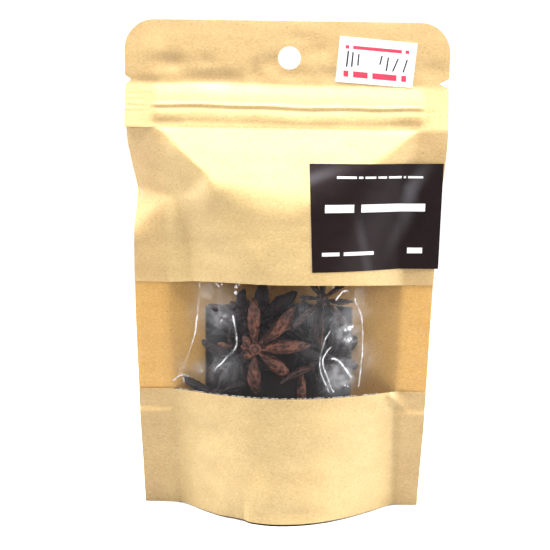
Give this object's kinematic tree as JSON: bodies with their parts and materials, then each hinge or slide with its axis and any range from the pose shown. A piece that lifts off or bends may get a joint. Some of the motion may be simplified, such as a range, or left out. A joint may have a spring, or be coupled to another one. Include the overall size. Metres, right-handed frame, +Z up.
{
  "type": "stand-up pouch of star anise",
  "caption": "Flat-topped kraft stand-up pouch with a clear window band, press-close zip ridges, a hang hole and tear notches, holding dried star anise.",
  "frame": {"origin": "centre of the pouch's box, at the surface it stands on", "axes": "+Z up the pouch, +X to the right seen from the front, the window side looks along -Y"},
  "size_m": [0.09, 0.0356, 0.139],
  "materials": {
    "kraft_paper": "matt brown kraft laminate",
    "clear_film": "clear glossy film, lightly wrinkled",
    "star_anise": "dry, rough, reddish-brown pods",
    "black_label": "black, slightly glossy sticker",
    "white_sticker": "white paper price sticker"
  },
  "bodies": {
    "root": {"pouch": "kraft_paper", "window_film": "clear_film", "star_anise": "star_anise", "front_label": "black_label", "back_label": "black_label", "price_sticker": "white_sticker"}
  },
  "joints": []
}
